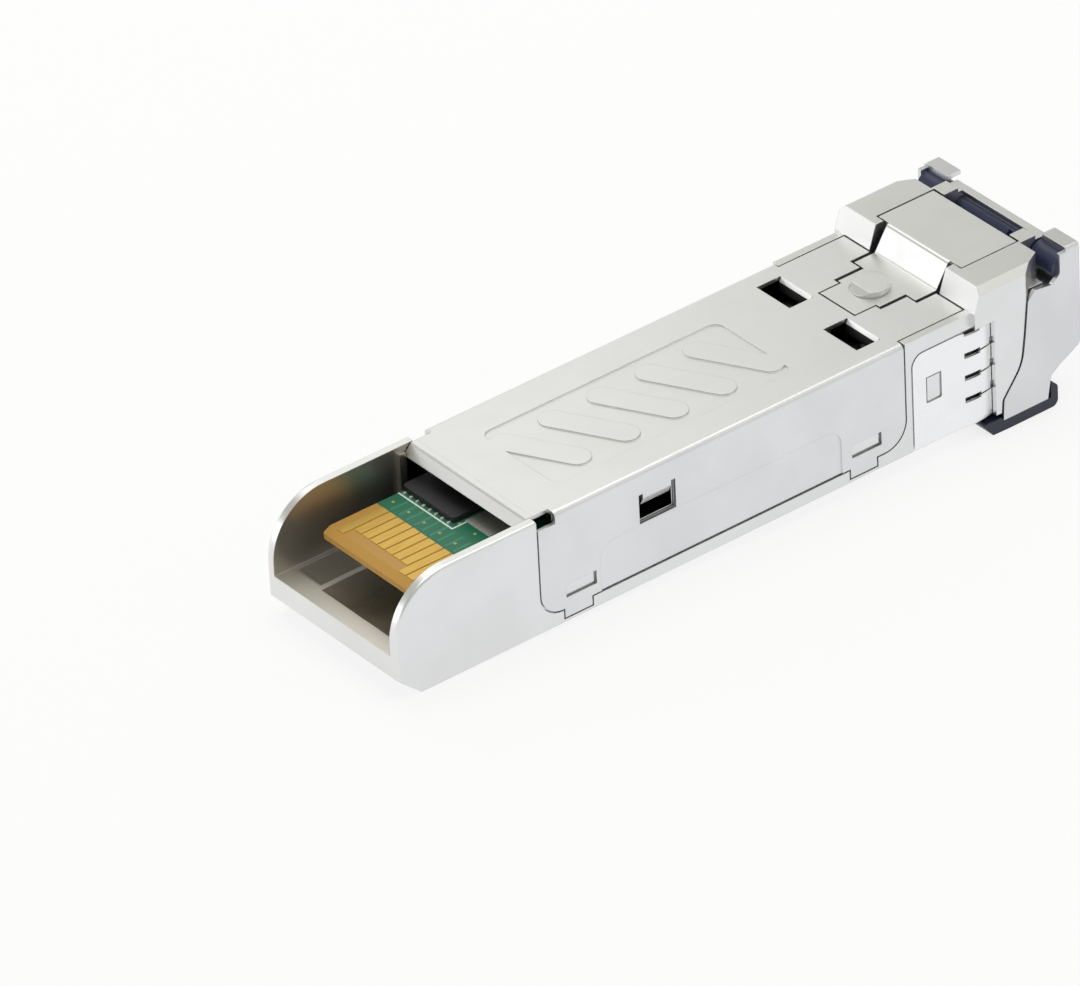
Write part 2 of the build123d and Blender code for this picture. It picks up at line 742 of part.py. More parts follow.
def latch_rocker():
    """Latch tongue with its boss, the ramp and the actuator plate, rocking on a cross pin."""
    low = cover_seat
    top = body_height
    plate_top = nose_height - 0.02
    side = [
        (rocker_rear, low),
        (rocker_rear, top),
        (stop_x + 0.1, top),
        (ramp_top_x, plate_top),
        (rocker_front, plate_top),
        (rocker_front, plate_top - 1.0),
        (rocker_front - rocker_sheet, plate_top - 1.0),
        (rocker_front - rocker_sheet, plate_top - rocker_sheet),
        (ramp_top_x + 0.15, plate_top - rocker_sheet),
        (stop_x + 0.35, low),
    ]
    bends = [0, 0, 0.15, 0.3, 0.12, 0, 0, 0, 0.1, 0.3]
    body = side_profile(side, bends, -rocker_plate_half, rocker_plate_half)
    half_points = [
        (rocker_rear, rocker_tail_half),
        (rocker_neck_x + rocker_gap, rocker_tail_half),
        (rocker_neck_x + rocker_gap, rocker_neck_half),
        (rocker_shoulder_x, rocker_neck_half),
        (rocker_shoulder_x, rocker_shoulder_half),
        (rocker_plate_x, rocker_shoulder_half),
        (rocker_plate_x, rocker_plate_half),
        (rocker_front + 1, rocker_plate_half),
    ]
    outline = half_points + [(x, -y) for x, y in reversed(half_points)]
    body = body & plan_profile(outline, 0, low - 1, nose_height + 1)
    # Only the middle of the front lip faces the cam
    body -= both_sides(
        rocker_front - rocker_sheet, rocker_front + 1, cam_half, nose_half, low - 1, plate_top - rocker_sheet
    )

    # Two ears carry the cross pin
    ear_radius = rocker_pin_radius + 0.28
    for side_sign in (-1, 1):
        y0 = side_sign * (rocker_plate_half - 0.25)
        y1 = side_sign * (rocker_plate_half - 0.25 - rocker_ear)
        ear = cylinder_y(min(y0, y1), max(y0, y1), rocker_pivot_x, rocker_pivot_z, ear_radius)
        web_top = plate_top - rocker_sheet / 2
        x0 = rocker_pivot_x - ear_radius
        x1 = rocker_pivot_x + ear_radius
        ear += block(x0, x1, y0, y1, rocker_pivot_z, web_top)
        body += ear
    reach = rocker_plate_half + 1
    bore_radius = rocker_pin_radius + rocker_pin_clearance
    body -= cylinder_y(-reach, reach, rocker_pivot_x, rocker_pivot_z, bore_radius)

    # Latch boss: round, sloped towards the rear, with a straight latching face in front
    boss = Pos(boss_x, 0, top - 0.1) * extrude(Circle(boss_radius), amount=boss_height + 0.1)
    slope = [
        (boss_x - boss_radius - 1, top),
        (boss_x - boss_radius, top + 0.05),
        (boss_x - boss_radius + boss_height, top + boss_height),
        (boss_x - boss_radius + boss_height, top + 1),
        (boss_x - boss_radius - 1, top + 1),
    ]
    boss -= side_profile(slope, 0, -2, 2)
    boss -= bar(boss_front, boss_front + 2, 2, top - 1, top + 1)
    ring = Circle(boss_radius + boss_groove) - Circle(boss_radius)
    body -= Pos(boss_x, 0, top - boss_groove_depth) * extrude(ring, amount=1)
    return body + boss


def rocker_pin():
    """Cross pin that the latch rocker turns on."""
    reach = rocker_plate_half + rocker_gap + 0.9
    return cylinder_y(-reach, reach, rocker_pivot_x, rocker_pivot_z, rocker_pin_radius)


def latch_spring():
    """Bowed leaf that stands on the receptacle and lifts the latch tongue."""
    seat = optical_z + port_size / 2 + 0.02
    crest = cover_seat - 0.03
    x0 = receptacle_rear + 0.1
    x1 = port_back - receptacle_back_wall - 0.2
    middle = (x0 + x1) / 2
    thickness = 0.12
    upper = ThreePointArc((x0, 0, seat + thickness), (middle, 0, crest), (x1, 0, seat + thickness))
    lower = ThreePointArc((x1, 0, seat), (middle, 0, crest - thickness), (x0, 0, seat))
    front = Line((x1, 0, seat + thickness), (x1, 0, seat))
    rear = Line((x0, 0, seat), (x0, 0, seat + thickness))
    face = make_face(upper + front + lower + rear)
    return Pos(0, -0.75, 0) * extrude(face, amount=1.5, dir=(0, 1, 0))


def bail_frame():
    """Folded metal bail: two side plates, the web under the nose and a folded cap at each corner."""
    rear, front = bail_side_points(0)
    inner = bail_outer - bail_sheet
    radii = [0, 0.3, 0.3, 0.2, 0.3, 0, bail_curve, bail_heel_curve, 0, 0, 0.4, 0.7, 0.6, 0.3]
    plate = side_profile(rear + front, radii, -bail_outer, -inner)
    cap = block(cap_rear, bail_front, -bail_outer, -cap_inner_y, cap_top - bail_sheet, cap_top)
    long_edges = cap.edges().filter_by(Axis.X)
    top_edges = long_edges.filter_by_position(Axis.Z, cap_top - 0.01, cap_top + 0.01)
    cap = fillet(top_edges.sort_by(Axis.Y)[0], bail_sheet * 0.9)
    corner = block(cap_rear, bail_front, -bail_outer, -inner, cap_top - 1, cap_top - bail_sheet)
    lip_bottom = cap_top - cap_lip
    lip_top = cap_top - bail_sheet + 0.01
    lip = block(cap_rear, cap_rear + bail_sheet, -inner + 0.1, -cap_inner_y, lip_bottom, lip_top)
    one_side = plate + cap + corner + lip
    web_rear = rear[-1][0] + 0.25
    web_front = front[0][0] - 0.1
    web = bar(web_rear, web_front, inner + 0.1, bail_bottom, bail_bottom + bail_sheet)
    return mirrored(one_side) + web


def bail_handle():
    """Moulded grip under the nose, with a rounded front end and a rising heel."""
    side = [
        (grip_rear, bail_bottom + 0.3),
        (grip_rear + 1.6, bail_bottom + 0.3),
        (grip_rear + 1.75, bail_bottom),
        (grip_front - grip_front_thickness, bail_bottom),
        (grip_front - grip_front_thickness, bail_bottom + grip_rise),
        (grip_front, bail_bottom + grip_rise),
        (grip_front, grip_bottom),
        (grip_rear + 0.9, grip_bottom),
    ]
    radii = [0.15, 0, 0, 0, 0.1, 0.45, 0.5, 0.2]
    grip = side_profile(side, radii, -bail_outer, bail_outer)
    grip -= bar(grip_rear + 1.9, grip_front - 1.2, bail_outer - 1.2, grip_bottom - 0.1, grip_bottom + 0.2)
    ridge_count = 4
    ridge_pitch = 0.8
    for index in range(ridge_count):
        x = grip_rear + 2.6 + ridge_pitch * index
        ridge = cylinder_y(-(bail_outer - 1.4), bail_outer - 1.4, x, grip_bottom + 0.22, 0.2)
        grip += ridge
    return grip


def bail_cam_shaft():
    """Moulded cross shaft of the bail, with a hub at each end and the cam in the middle."""
    inner = bail_outer - bail_sheet
    shaft = cylinder_y(-inner, inner, bail_pivot_x, bail_pivot_z, shaft_radius)
    for side in (-1, 1):
        near = min(side * hub_inner_y, side * inner)
        far = max(side * hub_inner_y, side * inner)
        shaft += cylinder_y(near, far, bail_pivot_x, bail_pivot_z, hub_radius)
    lobe = cylinder_y(-cam_half, cam_half, bail_pivot_x, bail_pivot_z, cam_radius)
    reach = cam_radius * 2
    wedge_points = [(bail_pivot_x, bail_pivot_z)]
    for angle in (cam_angle - cam_spread / 2, cam_angle + cam_spread / 2):
        turn = math.radians(angle)
        x = bail_pivot_x + reach * math.cos(turn)
        z = bail_pivot_z + reach * math.sin(turn)
        wedge_points.append((x, z))
    wedge = side_profile(wedge_points, 0, -cam_half, cam_half)
    return shaft + (lobe & wedge)


def lc_receptacle():
    """Moulded duplex port: two square plug cavities with latch channels and barrel bores."""
    half = collar_half - collar_sheet - 0.18
    bottom = tunnel_wall + 0.02
    top = optical_z + port_size / 2 + receptacle_roof
    rear_top = optical_z + port_size / 2
    body = bar(receptacle_rear, port_back + 0.1, half, bottom, rear_top)
    body += bar(port_back - receptacle_back_wall, receptacle_front, half, bottom, top)
    for y in (-port_y, port_y):
        low = optical_z - port_size / 2
        high = optical_z + port_size / 2
        side = port_size / 2
        body -= block(port_back, receptacle_front + 1, y - side, y + side, low, high)
        channel = latch_channel_width / 2
        floor = low - latch_channel_height
        body -= block(port_back + 1.2, receptacle_front + 1, y - channel, y + channel, floor, low + 0.5)
        catch = side - 0.15
        body -= block(port_back + 3.4, port_back + 5.4, y - catch, y + catch, floor + 0.3, low + 0.5)
        body -= cylinder_x(receptacle_rear - 1, port_back + 1, y, optical_z, barrel_nose_radius + 0.03)
    return body - chin_room(chin_setback * 2)


def optics_holder():
    """Plate behind the receptacle that holds the necks of both barrels."""
    x1 = receptacle_rear - holder_setback
    x0 = x1 - holder_thickness
    plate = bar(x0, x1, wall_inner, floor_thickness, optical_z + port_size / 2 - 0.1)
    for y in (-port_y, port_y):
        plate -= cylinder_x(x0 - 1, x1 + 1, y, optical_z, barrel_neck_radius + 0.02)
    return plate


def barrel(y):
    """Turned optical barrel: neck, flange and the hollow nose that takes the plug's ferrule."""
    holder_front = receptacle_rear - holder_setback
    nose_end = barrel_end
    body = cylinder_x(can_front, holder_front, y, optical_z, barrel_neck_radius)
    body += cylinder_x(holder_front, receptacle_rear, y, optical_z, barrel_flange_radius)
    body += cylinder_x(receptacle_rear - 0.2, nose_end, y, optical_z, barrel_nose_radius)
    bore_start = nose_end - sleeve_length - barrel_lead_in - 0.1
    bore_end = nose_end - barrel_lead_in
    body -= cylinder_x(bore_start, bore_end, y, optical_z, barrel_bore_radius)
    mouth = Cone(barrel_lip_radius, barrel_nose_radius - 0.2, barrel_lead_in + 0.02)
    body -= Pos((bore_end + nose_end) / 2, y, optical_z) * Rot(0, 90, 0) * mouth
    return body


def sleeve(y):
    """Split ceramic sleeve that lines up the ferrule."""
    x1 = barrel_end - barrel_lead_in - 0.05
    x0 = x1 - sleeve_length
    tube = cylinder_x(x0, x1, y, optical_z, sleeve_radius)
    tube -= cylinder_x(x0 - 1, x1 + 1, y, optical_z, ferrule_radius)
    tube -= block(x0 - 1, x1 + 1, y - sleeve_slit / 2, y + sleeve_slit / 2, optical_z, optical_z + 2)
    return tube


def can(y, radius):
    """Sealed metal can with a wider header and four leads."""
    x1 = can_front
    x0 = x1 - can_length
    header = 1.1
    body = cylinder_x(x0 + header, x1, y, optical_z, radius - can_flange_extra)
    body += cylinder_x(x0, x0 + header, y, optical_z, radius)
    for dy in (-1, 1):
        for dz in (-1, 1):
            lead_y = y + dy * lead_spread
            lead_z = optical_z + dz * lead_spread
            y0 = lead_y - lead_radius
            y1 = lead_y + lead_radius
            body += block(x0 - lead_length, x0 + 0.1, y0, y1, lead_z - lead_radius, lead_z + lead_radius)
    return body


def flex(y):
    """Flexible circuit from a can's leads up to the front edge of the board."""
    can_back = can_front - can_length
    x_up = can_back - lead_length - flex_thickness
    x_board = board_front - 2.2
    top = board_top
    low = optical_z - 1.6
    path = [
        (x_up, low),
        (x_up, top),
        (x_board, top),
        (x_board, top + flex_thickness),
        (x_up + flex_thickness, top + flex_thickness),
        (x_up + flex_thickness, low),
    ]
    return side_profile(path, [0, 0.3, 0, 0, 0.45, 0], y - flex_width / 2, y + flex_width / 2)


def main_pcb():
    """Circuit board: a narrow bevelled tongue at the rear and a wider part under the cover."""
    outline = [
        (board_rear, -tongue_width / 2),
        (board_step_x, -tongue_width / 2),
        (board_step_x, -board_width / 2),
        (board_front, -board_width / 2),
        (board_front, board_width / 2),
        (board_step_x, board_width / 2),
        (board_step_x, tongue_width / 2),
        (board_rear, tongue_width / 2),
    ]
    corners = [board_corner, 0, 0.3, 0.3, 0.3, 0.3, 0, board_corner]
    board = plan_profile(outline, corners, board_bottom, board_top)
    for z in (board_bottom, board_top):
        inward = 1 if z == board_bottom else -1
        bevel = [(board_rear - 1, z), (board_rear - 1, z + inward * board_bevel)]
        bevel += [(board_rear, z + inward * board_bevel), (board_rear + board_bevel * 2, z)]
        bevel += [(board_rear, z - inward), (board_rear - 1, z - inward)]
        board -= side_profile(bevel, 0, -board_width, board_width)
    return board


def edge_pads(z0, long_pads):
    """One row of contacts; the long ones are made first when the module is plugged in."""
    pads = []
    for index in range(pad_count):
        y = pad_pitch * (pad_count - 1) / 2 - pad_pitch * index
        rear = long_pad_rear if index in long_pads else short_pad_rear
        y0 = y - pad_width / 2
        y1 = y + pad_width / 2
        pads.append(block(rear + 0.15, pad_front, y0, y1, z0, z0 + pad_thickness))
    return Compound(children=pads)


def chip(x, y, z, length, width, height):
    """A moulded chip with bevelled upper edges, standing on the given height; height may be negative."""
    low = min(z, z + height)
    high = max(z, z + height)
    body = block(x - length / 2, x + length / 2, y - width / 2, y + width / 2, low, high)
    face = body.faces().sort_by(Axis.Z)[-1 if height > 0 else 0]
    return chamfer(face.edges(), 0.12)


def part_row(places, z, length, width, height):
    """Identical small components at several places on the board."""
    bodies = []
    for x, y in places:
        x0 = x - length / 2
        y0 = y - width / 2
        bodies.append(block(x0, x0 + length, y0, y0 + width, z, z + height))
    return Compound(children=bodies)


capacitor_places = [
    (x, y) for x in capacitor_columns + (driver_x - capacitor_offset,) for y in capacitor_rows
]
pieces = {
    "base_housing": base_housing(),
    "sheet_cover": sheet_cover(),
    "emi_collar": emi_collar(),
    "latch_rocker": latch_rocker(),
    "rocker_pin": rocker_pin(),
    "latch_spring": latch_spring(),
    "bail_frame": bail_frame(),
    "bail_handle": bail_handle(),
    "bail_cam_shaft": bail_cam_shaft(),
    "lc_receptacle": lc_receptacle(),
    "optics_holder": optics_holder(),
    "tosa_barrel": barrel(port_y),
    "rosa_barrel": barrel(-port_y),
    "tosa_sleeve": sleeve(port_y),
    "rosa_sleeve": sleeve(-port_y),
    "tosa_can": can(port_y, transmit_can_radius),
    "rosa_can": can(-port_y, receive_can_radius),
    "tosa_flex": flex(port_y),
    "rosa_flex": flex(-port_y),
    "main_pcb": main_pcb(),
    "edge_pads_top": edge_pads(board_top, (0, 8, 9)),
    "edge_pads_bottom": edge_pads(board_bottom - pad_thickness, (0, 4, 5, 9)),
    "ground_pad": block(
        ground_pad_x0,
        ground_pad_x1,
        ground_pad_y0,
        ground_pad_y1,
        board_top,
        board_top + pad_thickness,
    ),
    "controller_ic": chip(controller_x, 0, board_top, controller_size, controller_size, controller_height),
    "thermal_pad": bar(
        controller_x - thermal_pad_size / 2,
        controller_x + thermal_pad_size / 2,
        thermal_pad_size / 2,
        board_top + controller_height,
        cover_seat - 0.02,
    ),
    "laser_driver_ic": chip(driver_x, driver_y, board_top, driver_size, driver_size, driver_height),
    "limiting_amp_ic": chip(driver_x, -driver_y, board_top, driver_size, driver_size, driver_height),
    "memory_ic": chip(memory_x, 0, board_bottom, memory_length, memory_width, -memory_height),
    "decoupling_capacitors": part_row(
        capacitor_places, board_top, capacitor_length, capacitor_width, capacitor_width
    ),
    "filter_inductors": part_row(
        inductor_places, board_top, inductor_length, inductor_width, inductor_height
    ),
}

os.makedirs("parts", exist_ok=True)
to_origin = Pos(-module_length / 2, 0, -grip_bottom)
for name, piece in pieces.items():
    export_step(to_origin * piece, f"parts/{name}.step")
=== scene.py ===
# %% [markdown]
# A small optical transceiver lies on a pale table with its latch side up. The imported CAD model is
# the fixed frame of this scene: every piece of metal, plastic and laminate in it has its real size
# already, so the work here is the finish of each piece and the few details too fine for solids.

# %% Load the frame
import math

import bpy
import numpy as np
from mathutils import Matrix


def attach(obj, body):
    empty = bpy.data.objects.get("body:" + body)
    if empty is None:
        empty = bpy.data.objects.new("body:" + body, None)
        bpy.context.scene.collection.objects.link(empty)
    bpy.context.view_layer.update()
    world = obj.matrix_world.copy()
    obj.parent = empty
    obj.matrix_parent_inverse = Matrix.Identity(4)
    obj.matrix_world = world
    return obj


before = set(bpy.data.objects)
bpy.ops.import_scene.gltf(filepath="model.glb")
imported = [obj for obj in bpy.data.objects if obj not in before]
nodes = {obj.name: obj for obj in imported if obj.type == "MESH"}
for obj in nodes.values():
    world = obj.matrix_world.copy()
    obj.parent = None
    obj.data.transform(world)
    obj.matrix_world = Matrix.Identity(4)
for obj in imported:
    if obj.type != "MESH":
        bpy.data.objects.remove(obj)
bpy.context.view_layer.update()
MM = 0.001
print("CAD nodes:", len(nodes))

# %% [markdown]
# The part was modelled with x running from the electrical end and z from the face it lies on. The
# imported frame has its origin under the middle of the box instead. One function takes the drawing's
# millimetres to the frame's metres, so that every later size can be read off the drawing.

# %% Millimetres on the module to metres in the frame
REAR_TO_ORIGIN = -28.25
FACE_TO_ORIGIN = 1.4


def place(x, y, z):
    """The frame's point in metres for a point on the module in millimetres."""
    return ((x + REAR_TO_ORIGIN) * MM, y * MM, (z + FACE_TO_ORIGIN) * MM)


print("stop face at", place(47.6, 0, 0))

# %% [markdown]
# The photograph was taken with a long lens from the electrical end, above and to the left. Its
# direction, distance, roll and focal length were solved from the module's known sizes. The camera
# looks at a target along the solved direction and is then rolled about its own line of sight.

# %% Camera
from mathutils import Matrix, Vector

AZIMUTH, ELEVATION, ROLL = -36.870, 33.769, -3.023
DISTANCE_MM = 733.18
FOCAL_PIXELS, WIDTH_PIXELS = 11441.8, 1080
SENSOR_MM = 36.0
TARGET = (16.989, 0, 4.961)
target = Vector(place(*TARGET))
a, e, roll = (math.radians(v) for v in (AZIMUTH, ELEVATION, ROLL))
back = Vector((math.sin(a) * math.cos(e), -math.cos(a) * math.cos(e), math.sin(e)))
side = Vector((0, 0, 1)).cross(back).normalized()
up = back.cross(side)
right = side * math.cos(roll) + up * math.sin(roll)
top = up * math.cos(roll) - side * math.sin(roll)
lens = bpy.data.cameras.new("photo_camera")
camera = bpy.data.objects.new("photo_camera", lens)
bpy.context.scene.collection.objects.link(camera)
turn = Matrix((right, top, back)).transposed().to_4x4()
camera.matrix_world = Matrix.Translation(target + back * DISTANCE_MM * MM) @ turn
lens.sensor_width = SENSOR_MM
lens.lens = FOCAL_PIXELS / WIDTH_PIXELS * SENSOR_MM
lens.clip_start, lens.clip_end = 0.01, 20.0
bpy.context.scene.camera = camera
print("lens", round(lens.lens, 1), "mm")

# %% [markdown]
# Every finish below is a small network of shader nodes. A few helpers keep them readable. One
# turns a hex colour, which is what a colour picker shows, into the linear values that the renderer
# mixes. One adds a node with its settings and links in a single line. The others are that line for
# the nodes used most: sums on values and on vectors, a change of range, and a mix of two colours.

# %% Colour and node helpers


def colour(hex_text):
    """Linear red, green, blue and alpha for an sRGB hex colour such as #C8C8C4."""
    values = [int(hex_text[i : i + 2], 16) / 255 for i in (1, 3, 5)]
    linear = [v / 12.92 if v <= 0.04045 else ((v + 0.055) / 1.055) ** 2.4 for v in values]
    return (*linear, 1.0)


def add(tree, kind, inputs=None, **settings):
    """A new node of that kind.

    inputs are values or sockets, by the input's name or number. settings are the node's options.
    """
    node = tree.nodes.new(kind)
    for name, value in settings.items():
        setattr(node, name, value)
    for name, value in (inputs or {}).items():
        if isinstance(value, bpy.types.NodeSocket):
            tree.links.new(value, node.inputs[name])
        else:
            node.inputs[name].default_value = value
    return node


def calc(tree, operation, first, second=0.0, third=0.0):
    """A value worked out from up to three others."""
    numbers = {0: first, 1: second, 2: third}
    return add(tree, "ShaderNodeMath", numbers, operation=operation).outputs[0]


def vector(tree, operation, first, second=(0, 0, 0)):
    """A vector worked out from up to two others."""
    vectors = {0: first, 1: second}
    return add(tree, "ShaderNodeVectorMath", vectors, operation=operation).outputs[0]


def spread(tree, value, source=(0.0, 1.0), result=(0.0, 1.0)):
    """The value taken from the source range to the result range, and held at its ends."""
    ends = {"From Min": source[0], "From Max": source[1], "To Min": result[0], "To Max": result[1]}
    return add(tree, "ShaderNodeMapRange", {"Value": value, **ends}).outputs[0]


def blend(tree, share, first, second):
    """The first colour where share is 0, the second where it is 1."""
    colours = {0: share, 6: first, 7: second}
    return add(tree, "ShaderNodeMix", colours, data_type="RGBA").outputs[2]


print("node helpers ready")

# %% [markdown]
# Nearly every finish starts from a noise and ends by tilting the surface with it. The sizes are
# given in millimetres here too, so each texture has its real scale on the part. A noise runs from
# 0 to 1 but seldom leaves its middle third, so tones are mixed over that third. One helper starts
# a material with the piece's own coordinates, which stay with it when it moves, and one links the
# result to the surface shader.

# %% Noise, relief, and a material's start and end
MOST_NOISE = (0.35, 0.65)


def noise(tree, where, spacing_mm, detail, **more):
    """A noise whose lumps are spacing_mm apart."""
    size = {"Vector": where, "Scale": 1 / (spacing_mm * MM), "Detail": detail, **more}
    return add(tree, "ShaderNodeTexNoise", size).outputs[0]


def lines_along_x(tree, here, apart_mm, long_mm, detail):
    """A noise that is stretched along X into lines apart_mm apart and long_mm long."""
    scale = (1 / (long_mm * MM), 1 / (apart_mm * MM), 1 / (apart_mm * MM))
    mapped = add(tree, "ShaderNodeMapping", {"Vector": here, "Scale": scale}).outputs[0]
    size = {"Vector": mapped, "Scale": 1.0, "Detail": detail}
    return add(tree, "ShaderNodeTexNoise", size).outputs[0]


def relief(tree, height, strength, depth_mm, **more):
    """A normal that is tilted as if the surface had that relief."""
    size = {"Height": height, "Strength": strength, "Distance": depth_mm * MM, **more}
    return add(tree, "ShaderNodeBump", size).outputs[0]


def start(name):
    """An empty material with its output, its surface shader and the piece's own coordinates."""
    material = bpy.data.materials.new(name)
    material.use_nodes = True
    tree = material.node_tree
    tree.nodes.clear()
    shader = add(tree, "ShaderNodeBsdfPrincipled")
    add(tree, "ShaderNodeOutputMaterial", {"Surface": shader.outputs[0]})
    coordinates = add(tree, "ShaderNodeTexCoord").outputs["Object"]
    return material, tree, shader, coordinates


def finish_with(tree, shader, metallic, **sockets):
    """Link what was drawn to the surface shader's inputs. tone is the base colour."""
    names = {"tone": "Base Color", "roughness": "Roughness", "normal": "Normal"}
    for name, socket in sockets.items():
        tree.links.new(socket, shader.inputs[names[name]])
    shader.inputs["Metallic"].default_value = metallic


print("material helpers ready")

# %% [markdown]
# Two more helpers serve several finishes. The first marks a box-shaped part of the module, because
# one casting or one board carries different finishes in different places. The second softens the
# shading normal near an edge. No stamped or cast edge is truly sharp, and the thin bright line
# that a small radius catches is what makes metal look like metal. Bevelling the mesh would give
# the same line, but the CAD meshes stay as they are, and a shader bevel costs nothing in faces.

# %% Region mask and soft edges
EDGE_MM = 0.07


def within(tree, here, low, high, soft_mm=0.02):
    """1 inside the box between two points in millimetres, else 0.

    The largest of |p - centre| - half over the three axes is below zero inside the box.
    """
    centre = [(p + q) / 2 for p, q in zip(low, high)]
    half = [(q - p) / 2 * MM for p, q in zip(low, high)]
    folded = vector(tree, "ABSOLUTE", vector(tree, "SUBTRACT", here, place(*centre)))
    beyond = vector(tree, "SUBTRACT", folded, half)
    x, y, z = add(tree, "ShaderNodeSeparateXYZ", {0: beyond}).outputs
    most = calc(tree, "MAXIMUM", calc(tree, "MAXIMUM", x, y), z)
    return spread(tree, most, (0.0, soft_mm * MM), (1.0, 0.0))


def soft_edge(tree, radius_mm=EDGE_MM):
    """A normal that turns over edges as if they had that radius."""
    return add(tree, "ShaderNodeBevel", {"Radius": radius_mm * MM}, samples=4).outputs[0]


print("edges look", EDGE_MM, "mm round")

# %% [markdown]
# Nickel plating on sheet is bright but not a mirror: the rolling of the strip leaves a faint grain
# along its length, and the plating bath leaves a soft haze. Metal shows mostly what it reflects,
# so the base colour stays a pale neutral grey, and a stretched noise varies the roughness and
# tilts the surface slightly. An image of brushed metal would do it too, but noise has the right
# scale at every distance. Little light reaches the inside of the module, so shade is painted on
# the sheet's inner face as a near-black colour.

# %% Plated sheet
HAZE_MM = 4.0
INSIDE_LOW = (11.75, -6.38, 0.35)
INSIDE_HIGH = (47.4, 6.38, 8.19)


def plated_sheet(name, base, tint, rough, grain_mm=0.06, streak_mm=3.0, bump_mm=0.0008):
    """Nickel-plated strip: grain lines that are grain_mm apart and streak_mm long, along X."""
    material, tree, shader, here = start(name)
    grain = lines_along_x(tree, here, grain_mm, streak_mm, 3.0)
    haze = noise(tree, here, HAZE_MM, 2.0)
    uneven = calc(tree, "ADD", grain, haze)
    roughness = spread(tree, uneven, (0.7, 1.3), (rough - 0.04, rough + 0.05))
    tone = blend(tree, spread(tree, haze, MOST_NOISE), colour(base), colour(tint))
    inner = within(tree, here, INSIDE_LOW, INSIDE_HIGH)
    # painted shade: inside the module the sheet's inner face takes a near-black colour
    tone = blend(tree, inner, tone, colour("#2B2A28"))
    normal = relief(tree, grain, 0.25, bump_mm, Normal=soft_edge(tree))
    finish_with(tree, shader, 1.0, tone=tone, roughness=roughness, normal=normal)
    return material


cover_metal = plated_sheet("nickel_plated_cover_sheet", "#E4E4E4", "#E0E0DF", 0.36)
latch_metal = plated_sheet("nickel_plated_latch_sheet", "#E8E8E7", "#E4E4E2", 0.32)
collar_metal = plated_sheet("bright_spring_sheet", "#F8F8F7", "#F4F4F3", 0.30)
bail_metal = plated_sheet("nickel_plated_bail_sheet", "#DEDEDE", "#D9D9D9", 0.32)
print("plated sheets ready")

# %% [markdown]
# The body is a zinc die casting with the same plating. A casting has no rolling grain: its skin is
# a fine even pebble left by the die, with slow waves where the metal shrank. The two sizes of
# noise give both. Down in the open bay the plating is matt, so a mask makes it rougher, and it
# paints shade on the bay's walls as a duller, slightly warm grey. The pockets in its floor keep a
# pale tone and are only rougher, because their own depth darkens them already. The rear rim is a
# little darker and warmer, and the deep inside is painted near black as shade.

# %% Plated casting
PEBBLE_MM = 0.12
WAVE_MM = 5.0
CASTING_REGIONS = (
    # painted shade: the bay's walls are darkened to a duller, warm grey
    ((-2.0, -6.02, 3.28), (11.8, 6.02, 9.0), "#B9B5AC"),  # walls of the open bay
    ((1.33, -6.02, 0.9), (14.0, 6.02, 3.22), "#EDEAE4"),  # pockets in its floor
    ((-0.1, -6.02, 3.2), (1.4, 6.02, 3.28), "#D8D6CE"),  # rear rim
    # painted shade: near black under the cover, where little light reaches
    ((11.0, -6.3, 0.9), INSIDE_HIGH, "#24231F"),  # deep inside, under the cover
)
MORE_ROUGH = 0.12


def plated_casting(name, base, tint, rough):
    """Nickel-plated die casting: a pebble of PEBBLE_MM on waves of WAVE_MM."""
    material, tree, shader, here = start(name)
    pebble = noise(tree, here, PEBBLE_MM, 4.0, Roughness=0.6)
    wave = noise(tree, here, WAVE_MM, 2.0)
    roughness = spread(tree, pebble, (0.3, 0.7), (rough - 0.02, rough + 0.03))
    tone = blend(tree, spread(tree, wave, MOST_NOISE), colour(base), colour(tint))
    for low, high, region_tone_or_shade in CASTING_REGIONS:
        mask = within(tree, here, low, high)
        tone = blend(tree, mask, tone, colour(region_tone_or_shade))
        roughness = calc(tree, "MULTIPLY_ADD", mask, MORE_ROUGH, roughness)
    fine = relief(tree, pebble, 0.2, 0.002, Normal=soft_edge(tree))
    slow = relief(tree, wave, 0.3, 0.04, Normal=fine)
    finish_with(tree, shader, 1.0, tone=tone, roughness=roughness, normal=slow)
    return material


casting = plated_casting("nickel_plated_die_casting", "#E7E7E6", "#E3E3E1", 0.30)
print("casting ready")

# %% [markdown]
# The bail's grip, its shaft and the port are moulded in a dark navy glass-filled plastic. Moulded
# plastic takes the eroded finish of its mould: a fine matt grain with a soft sheen on the rounded
# edges. The chips' black resin, the silicone pad, the ceramics and the film get the same treatment
# with their own grain, because they too are formed or ground by a tool that leaves an even
# texture.

# %% Moulded plastic


def moulded_plastic(name, base, tint, rough, grain_mm=0.09):
    """Moulded plastic with the spark-eroded grain of its mould."""
    material, tree, shader, here = start(name)
    grain = noise(tree, here, grain_mm, 3.0)
    tone = blend(tree, spread(tree, grain, MOST_NOISE), colour(base), colour(tint))
    roughness = spread(tree, grain, result=(rough - 0.05, rough + 0.05))
    normal = relief(tree, grain, 0.35, 0.005)
    finish_with(tree, shader, 0.0, tone=tone, roughness=roughness, normal=normal)
    return material


grip_plastic = moulded_plastic("moulded_navy_grip_plastic", "#1B2034", "#161A2B", 0.40)
